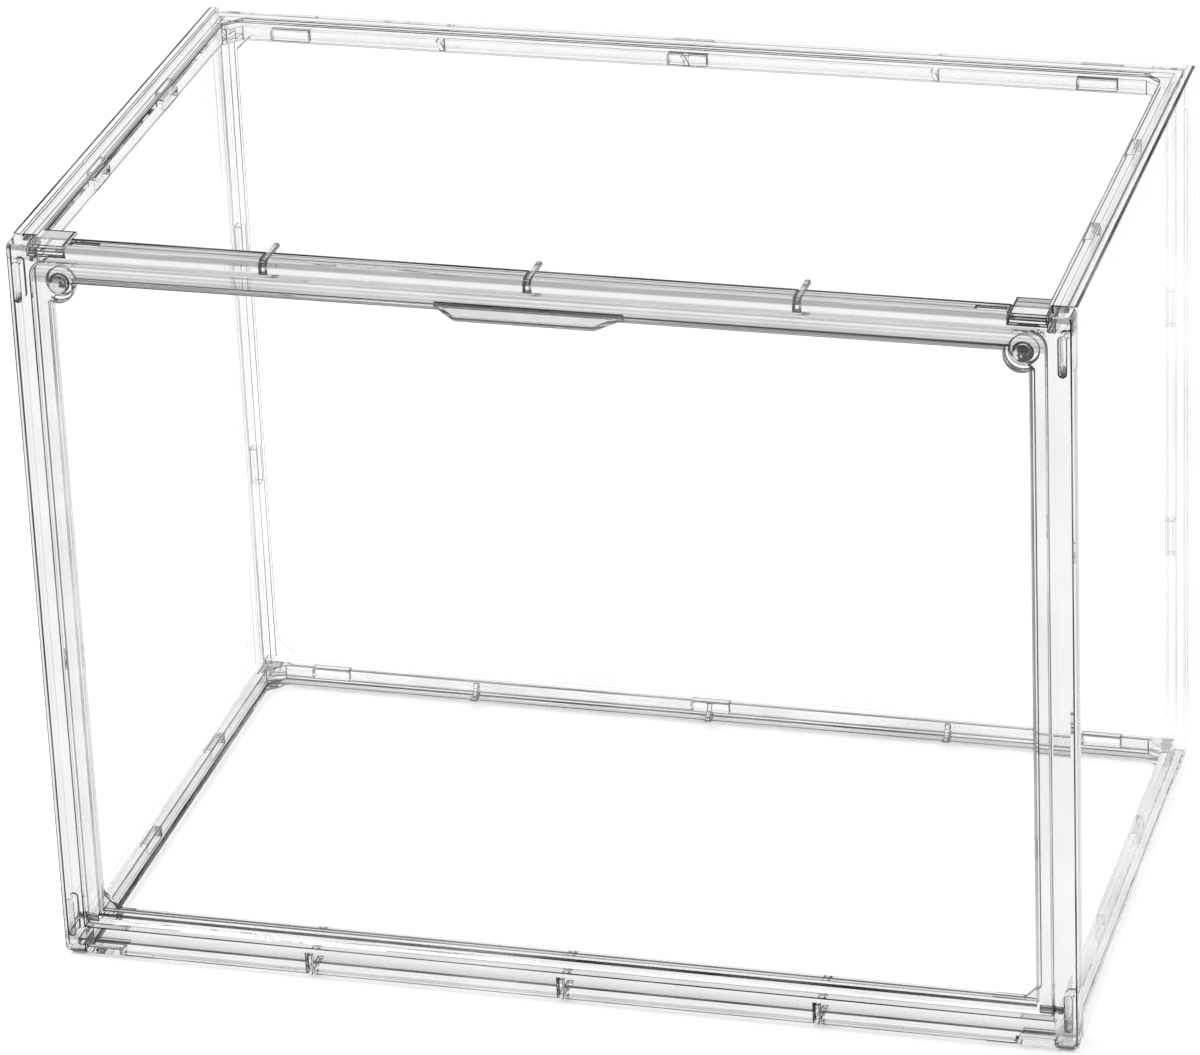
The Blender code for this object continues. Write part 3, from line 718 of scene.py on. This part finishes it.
def refinish(nodes, material):
    """Give the frame's own solids a better finish."""
    for node in nodes:
        solid = frame["nodes"][node]
        solid.data.materials.clear()
        solid.data.materials.append(material)


# Stage
def place_camera(stage):
    """Set the camera up at the viewing angle of the picture."""
    data = bpy.data.cameras.new("camera")
    data.lens = stage.lens
    data.sensor_width = stage.sensor
    camera = bpy.data.objects.new("camera", data)
    bpy.context.scene.collection.objects.link(camera)
    turned = (
        Matrix.Rotation(stage.azimuth, 4, "Z")
        @ Matrix.Rotation(math.pi / 2 - stage.elevation, 4, "X")
        @ Matrix.Rotation(stage.roll, 4, "Z"))
    back = turned.to_3x3() @ Vector((0, 0, stage.distance))
    camera.matrix_world = Matrix.Translation(Vector(stage.aim) + back) @ turned
    bpy.context.scene.camera = camera


def seen_by_way(tree):
    """One for rays that come by way of metal or clear plastic."""
    path = tree.nodes.new("ShaderNodeLightPath")
    either = tree.nodes.new("ShaderNodeMath")
    either.operation = "MAXIMUM"
    tree.links.new(path.outputs["Is Glossy Ray"], either.inputs[0])
    tree.links.new(path.outputs["Is Transmission Ray"], either.inputs[1])
    return either.outputs["Value"]


def lay_floor(stage):
    """A plain white floor that keeps the object's shadow."""
    half = stage.floor_size / 2
    shape = bmesh.new()
    bmesh.ops.create_grid(shape, x_segments=1, y_segments=1, size=half)
    mesh = bpy.data.meshes.new("floor")
    shape.to_mesh(mesh)
    shape.free()
    floor = bpy.data.objects.new("floor", mesh)
    bpy.context.scene.collection.objects.link(floor)
    finish = Finish("floor_white")
    finish.set(Base_Color=white(stage.floor_colour), Roughness=1.0, Specular_IOR_Level=0.0)
    finish.surface.inputs["Emission Color"].default_value = white(1)
    away = finish.node("ShaderNodeVectorMath", operation="LENGTH")
    finish.link(finish.node("ShaderNodeTexCoord").outputs["Object"], away.inputs["Vector"])
    rise = finish.between(
        away.outputs["Value"], stage.floor_lift, stage.far_lift, start=stage.far_from,
        end=stage.far_to)
    looked_at = finish.node("ShaderNodeLightPath").outputs["Is Camera Ray"]
    finish.link(
        finish.combined("MULTIPLY", rise, looked_at), finish.surface.inputs["Emission Strength"])
    backdrop = finish.node("ShaderNodeEmission")
    choice = finish.node("ShaderNodeMixShader")
    finish.link(seen_by_way(finish.tree), choice.inputs["Fac"])
    finish.link(finish.surface.outputs["BSDF"], choice.inputs[1])
    finish.link(backdrop.outputs["Emission"], choice.inputs[2])
    finish.link(choice.outputs["Shader"], finish.output.inputs["Surface"])
    mesh.materials.append(finish.material)


def hang_softbox(stage):
    """One large softbox above and to the left of the front."""
    data = bpy.data.lights.new("softbox", "AREA")
    data.energy = stage.softbox_power
    data.size = stage.softbox_size
    softbox = bpy.data.objects.new("softbox", data)
    bpy.context.scene.collection.objects.link(softbox)
    softbox.location = stage.softbox_place
    down = -Vector(stage.softbox_place)
    softbox.rotation_euler = down.to_track_quat("-Z", "Y").to_euler()


def surround_with_room(stage):
    """White behind the object, and a dimmer room above it for the plastic and the metal."""
    world = bpy.data.worlds.new("studio")
    bpy.context.scene.world = world
    world.use_nodes = True
    tree = world.node_tree
    around = tree.nodes.new("ShaderNodeTexCoord")
    axes = tree.nodes.new("ShaderNodeSeparateXYZ")
    tree.links.new(around.outputs["Generated"], axes.inputs["Vector"])
    room = tree.nodes.new("ShaderNodeMapRange")
    for word, value in (
            ("From Min", stage.backdrop_top), ("From Max", stage.surround_from),
            ("To Min", 1.0), ("To Max", stage.surround)):
        room.inputs[word].default_value = value
    tree.links.new(axes.outputs["Z"], room.inputs["Value"])
    path = tree.nodes.new("ShaderNodeLightPath")
    seen = tree.nodes.new("ShaderNodeMix")
    tree.links.new(seen_by_way(tree), seen.inputs["Factor"])
    seen.inputs["A"].default_value = stage.ambient
    tree.links.new(room.outputs["Result"], seen.inputs["B"])
    straight = tree.nodes.new("ShaderNodeMix")
    tree.links.new(path.outputs["Is Camera Ray"], straight.inputs["Factor"])
    tree.links.new(seen.outputs["Result"], straight.inputs["A"])
    straight.inputs["B"].default_value = 1.0
    background = tree.nodes["Background"]
    background.inputs["Color"].default_value = white(1)
    tree.links.new(straight.outputs["Result"], background.inputs["Strength"])


# Operators
class DISPLAYBOX_OT_walls(bpy.types.Operator):
    """Mould the base, the top, the sides and the back"""

    bl_idname = "display_box.walls"
    bl_label = "Walls"

    def execute(self, context):
        plastic = settings().plastic
        base = mould("base_panel", plastic.wall_fillet, "edge_clear", "base", "edge_faint")
        refit(base, SHEET_SLOT, [BASE_FRONT], test=looks_forwards)
        # The base's edges at the front foot and on the right take fainter painted shade
        refit(base, ACCENT_SLOT, [BASE_FRONT_FOOT, BASE_RIGHT], only=EDGE_SLOT)
        top = mould("top_panel", plastic.wall_fillet, "edge_clear")
        refit(top, ACCENT_SLOT, TAB_TOPS, only=EDGE_SLOT)
        lean(top, (0, -plastic.tab_lean, 0), [TAB_REARS])
        for tab_end, outwards in zip(TAB_ENDS, (1, -1)):
            lean(top, (outwards * plastic.tab_lean * TAB_END_SHARE, 0, 0), [tab_end])
        back = mould("back_panel", plastic.wall_fillet, "edge_faint", "faint", "edge_clear")
        # The back's edges on the left take stronger painted shade
        refit(back, ACCENT_SLOT, [BACK_LEFT], only=EDGE_SLOT)
        refit(back, SHEET_SLOT, [BACK_OUTSIDE])
        for node, inwards in SIDES:
            side = mould(node, plastic.wall_fillet, "edge_faint", "faint")
            refit(side, ACCENT_SLOT, [SIDE_TOP], only=EDGE_SLOT)
            refit(side, SHEET_SLOT, SIDE_OUTSIDES)
            lean(side, (inwards * plastic.side_lean, 0, 0), SIDE_TOP_EDGES)
        return {"FINISHED"}


class DISPLAYBOX_OT_front_frame(bpy.types.Operator):
    """Mould the frame that the door closes into"""

    bl_idname = "display_box.front_frame"
    bl_label = "Front frame"

    def execute(self, context):
        plastic = settings().plastic
        piece = mould(
            "front_frame", plastic.frame_fillet, "edge_strong", rim="frame", accent="edge_faint")
        lean(piece, (0, -plastic.frame_lean, 0), [FRAME_TOP_REAR])
        lean(piece, (0, -plastic.frame_reach, 0), [FRAME_TOP_FRONT])
        refit(piece, RIM_SLOT, [FRAME_UPPER_FRONT], only=EDGE_SLOT)
        refit(piece, ACCENT_SLOT, [FRAME_LOWER_REAR], only=EDGE_SLOT)
        refit(piece, ACCENT_SLOT, [FRAME_BAND], only=EDGE_SLOT, test=is_long)
        refit(piece, SHEET_SLOT, FRAME_CORNERS, test=looks_up)
        return {"FINISHED"}


class DISPLAYBOX_OT_door(bpy.types.Operator):
    """Mould the drop-down door with its grip"""

    bl_idname = "display_box.door"
    bl_label = "Door"

    def execute(self, context):
        piece = mould(
            "door_panel", settings().plastic.door_fillet, "edge_strong", rim="door",
            accent="edge_door")
        # The grip gets painted shade: a greyer tint, and a black line at its root
        refit(piece, SHADED_SLOT, [GRIP])
        # The door's foot gets the dark lines of painted shade
        refit(piece, EDGE_SLOT, [DOOR_FOOT])
        refit(
            piece, ACCENT_SLOT, [DOOR_ABOVE_FOOT], only=EDGE_SLOT,
            test=lambda face: is_long(face) or not within(GRIP_ROOT, face.center))
        refit(piece, RIM_SLOT, [DOOR_UPPER_RAIL], only=ACCENT_SLOT, test=is_long)
        return {"FINISHED"}


class DISPLAYBOX_OT_magnets(bpy.types.Operator):
    """Plate the four magnets"""

    bl_idname = "display_box.magnets"
    bl_label = "Magnets"

    def execute(self, context):
        fittings = settings().fittings
        # The plating carries patches of painted reflection
        refinish(MAGNETS, finish_named(
            "magnet_plating", plated_metal, fittings.plating, fittings.painted_reflection, PLATING_SCALE,
            PLATING_SPREAD))
        return {"FINISHED"}


class DISPLAYBOX_OT_hinge_pins(bpy.types.Operator):
    """Draw the wire of the two hinge pins"""

    bl_idname = "display_box.hinge_pins"
    bl_label = "Hinge pins"

    def execute(self, context):
        fittings = settings().fittings
        # The pins' wire and drawing marks carry painted shade
        refinish(HINGE_PINS, finish_named(
            "pin_wire", plated_metal, fittings.wire, fittings.wire_shade, WIRE_SCALE, WIRE_SPREAD,
            WIRE_STRETCH))
        return {"FINISHED"}


class DISPLAYBOX_OT_feet(bpy.types.Operator):
    """Finish the four soft feet"""

    bl_idname = "display_box.feet"
    bl_label = "Feet"

    def execute(self, context):
        refinish(FEET, finish_named("foot_pad", soft_pad))
        return {"FINISHED"}


class DISPLAYBOX_OT_stage(bpy.types.Operator):
    """Lay the floor, hang the light and place the camera"""

    bl_idname = "display_box.stage"
    bl_label = "Stage"

    def execute(self, context):
        stage = settings().stage
        lay_floor(stage)
        hang_softbox(stage)
        surround_with_room(stage)
        place_camera(stage)
        context.scene.view_settings.view_transform = "Standard"
        context.scene.cycles.transparent_max_bounces = stage.clear_faces
        context.scene.cycles.max_bounces = stage.bends
        context.scene.cycles.transmission_bounces = stage.bends
        context.scene.cycles.glossy_bounces = stage.bends
        return {"FINISHED"}


class DISPLAYBOX_PT_panel(bpy.types.Panel):
    """The display box's panel in the sidebar"""

    bl_idname = "DISPLAYBOX_PT_panel"
    bl_label = "Display box"
    bl_space_type = "VIEW_3D"
    bl_region_type = "UI"
    bl_category = "Display box"

    def draw(self, context):
        for group in (settings().plastic, settings().fittings, settings().stage):
            column = self.layout.column()
            for word in group.bl_rna.properties.keys():
                if word not in ("rna_type", "name"):
                    column.prop(group, word)
        for operator in OPERATORS:
            self.layout.operator(operator.bl_idname)


OPERATORS = (
    DISPLAYBOX_OT_walls, DISPLAYBOX_OT_front_frame, DISPLAYBOX_OT_door, DISPLAYBOX_OT_magnets,
    DISPLAYBOX_OT_hinge_pins, DISPLAYBOX_OT_feet, DISPLAYBOX_OT_stage,
)
CLASSES = (
    PlasticSettings, FittingSettings, StageSettings, DisplayBoxSettings, *OPERATORS,
    DISPLAYBOX_PT_panel,
)


def register():
    """Make the settings, the operators and the panel known."""
    for made in CLASSES:
        bpy.utils.register_class(made)
    bpy.types.Scene.display_box = PointerProperty(type=DisplayBoxSettings)


def unregister():
    """Take the settings, the operators and the panel away again."""
    del bpy.types.Scene.display_box
    for made in reversed(CLASSES):
        bpy.utils.unregister_class(made)


def main():
    """Make every piece and the stage."""
    register()
    bpy.ops.display_box.walls()
    bpy.ops.display_box.front_frame()
    bpy.ops.display_box.door()
    bpy.ops.display_box.magnets()
    bpy.ops.display_box.hinge_pins()
    bpy.ops.display_box.feet()
    bpy.ops.display_box.stage()


if __name__ == "__main__":
    main()
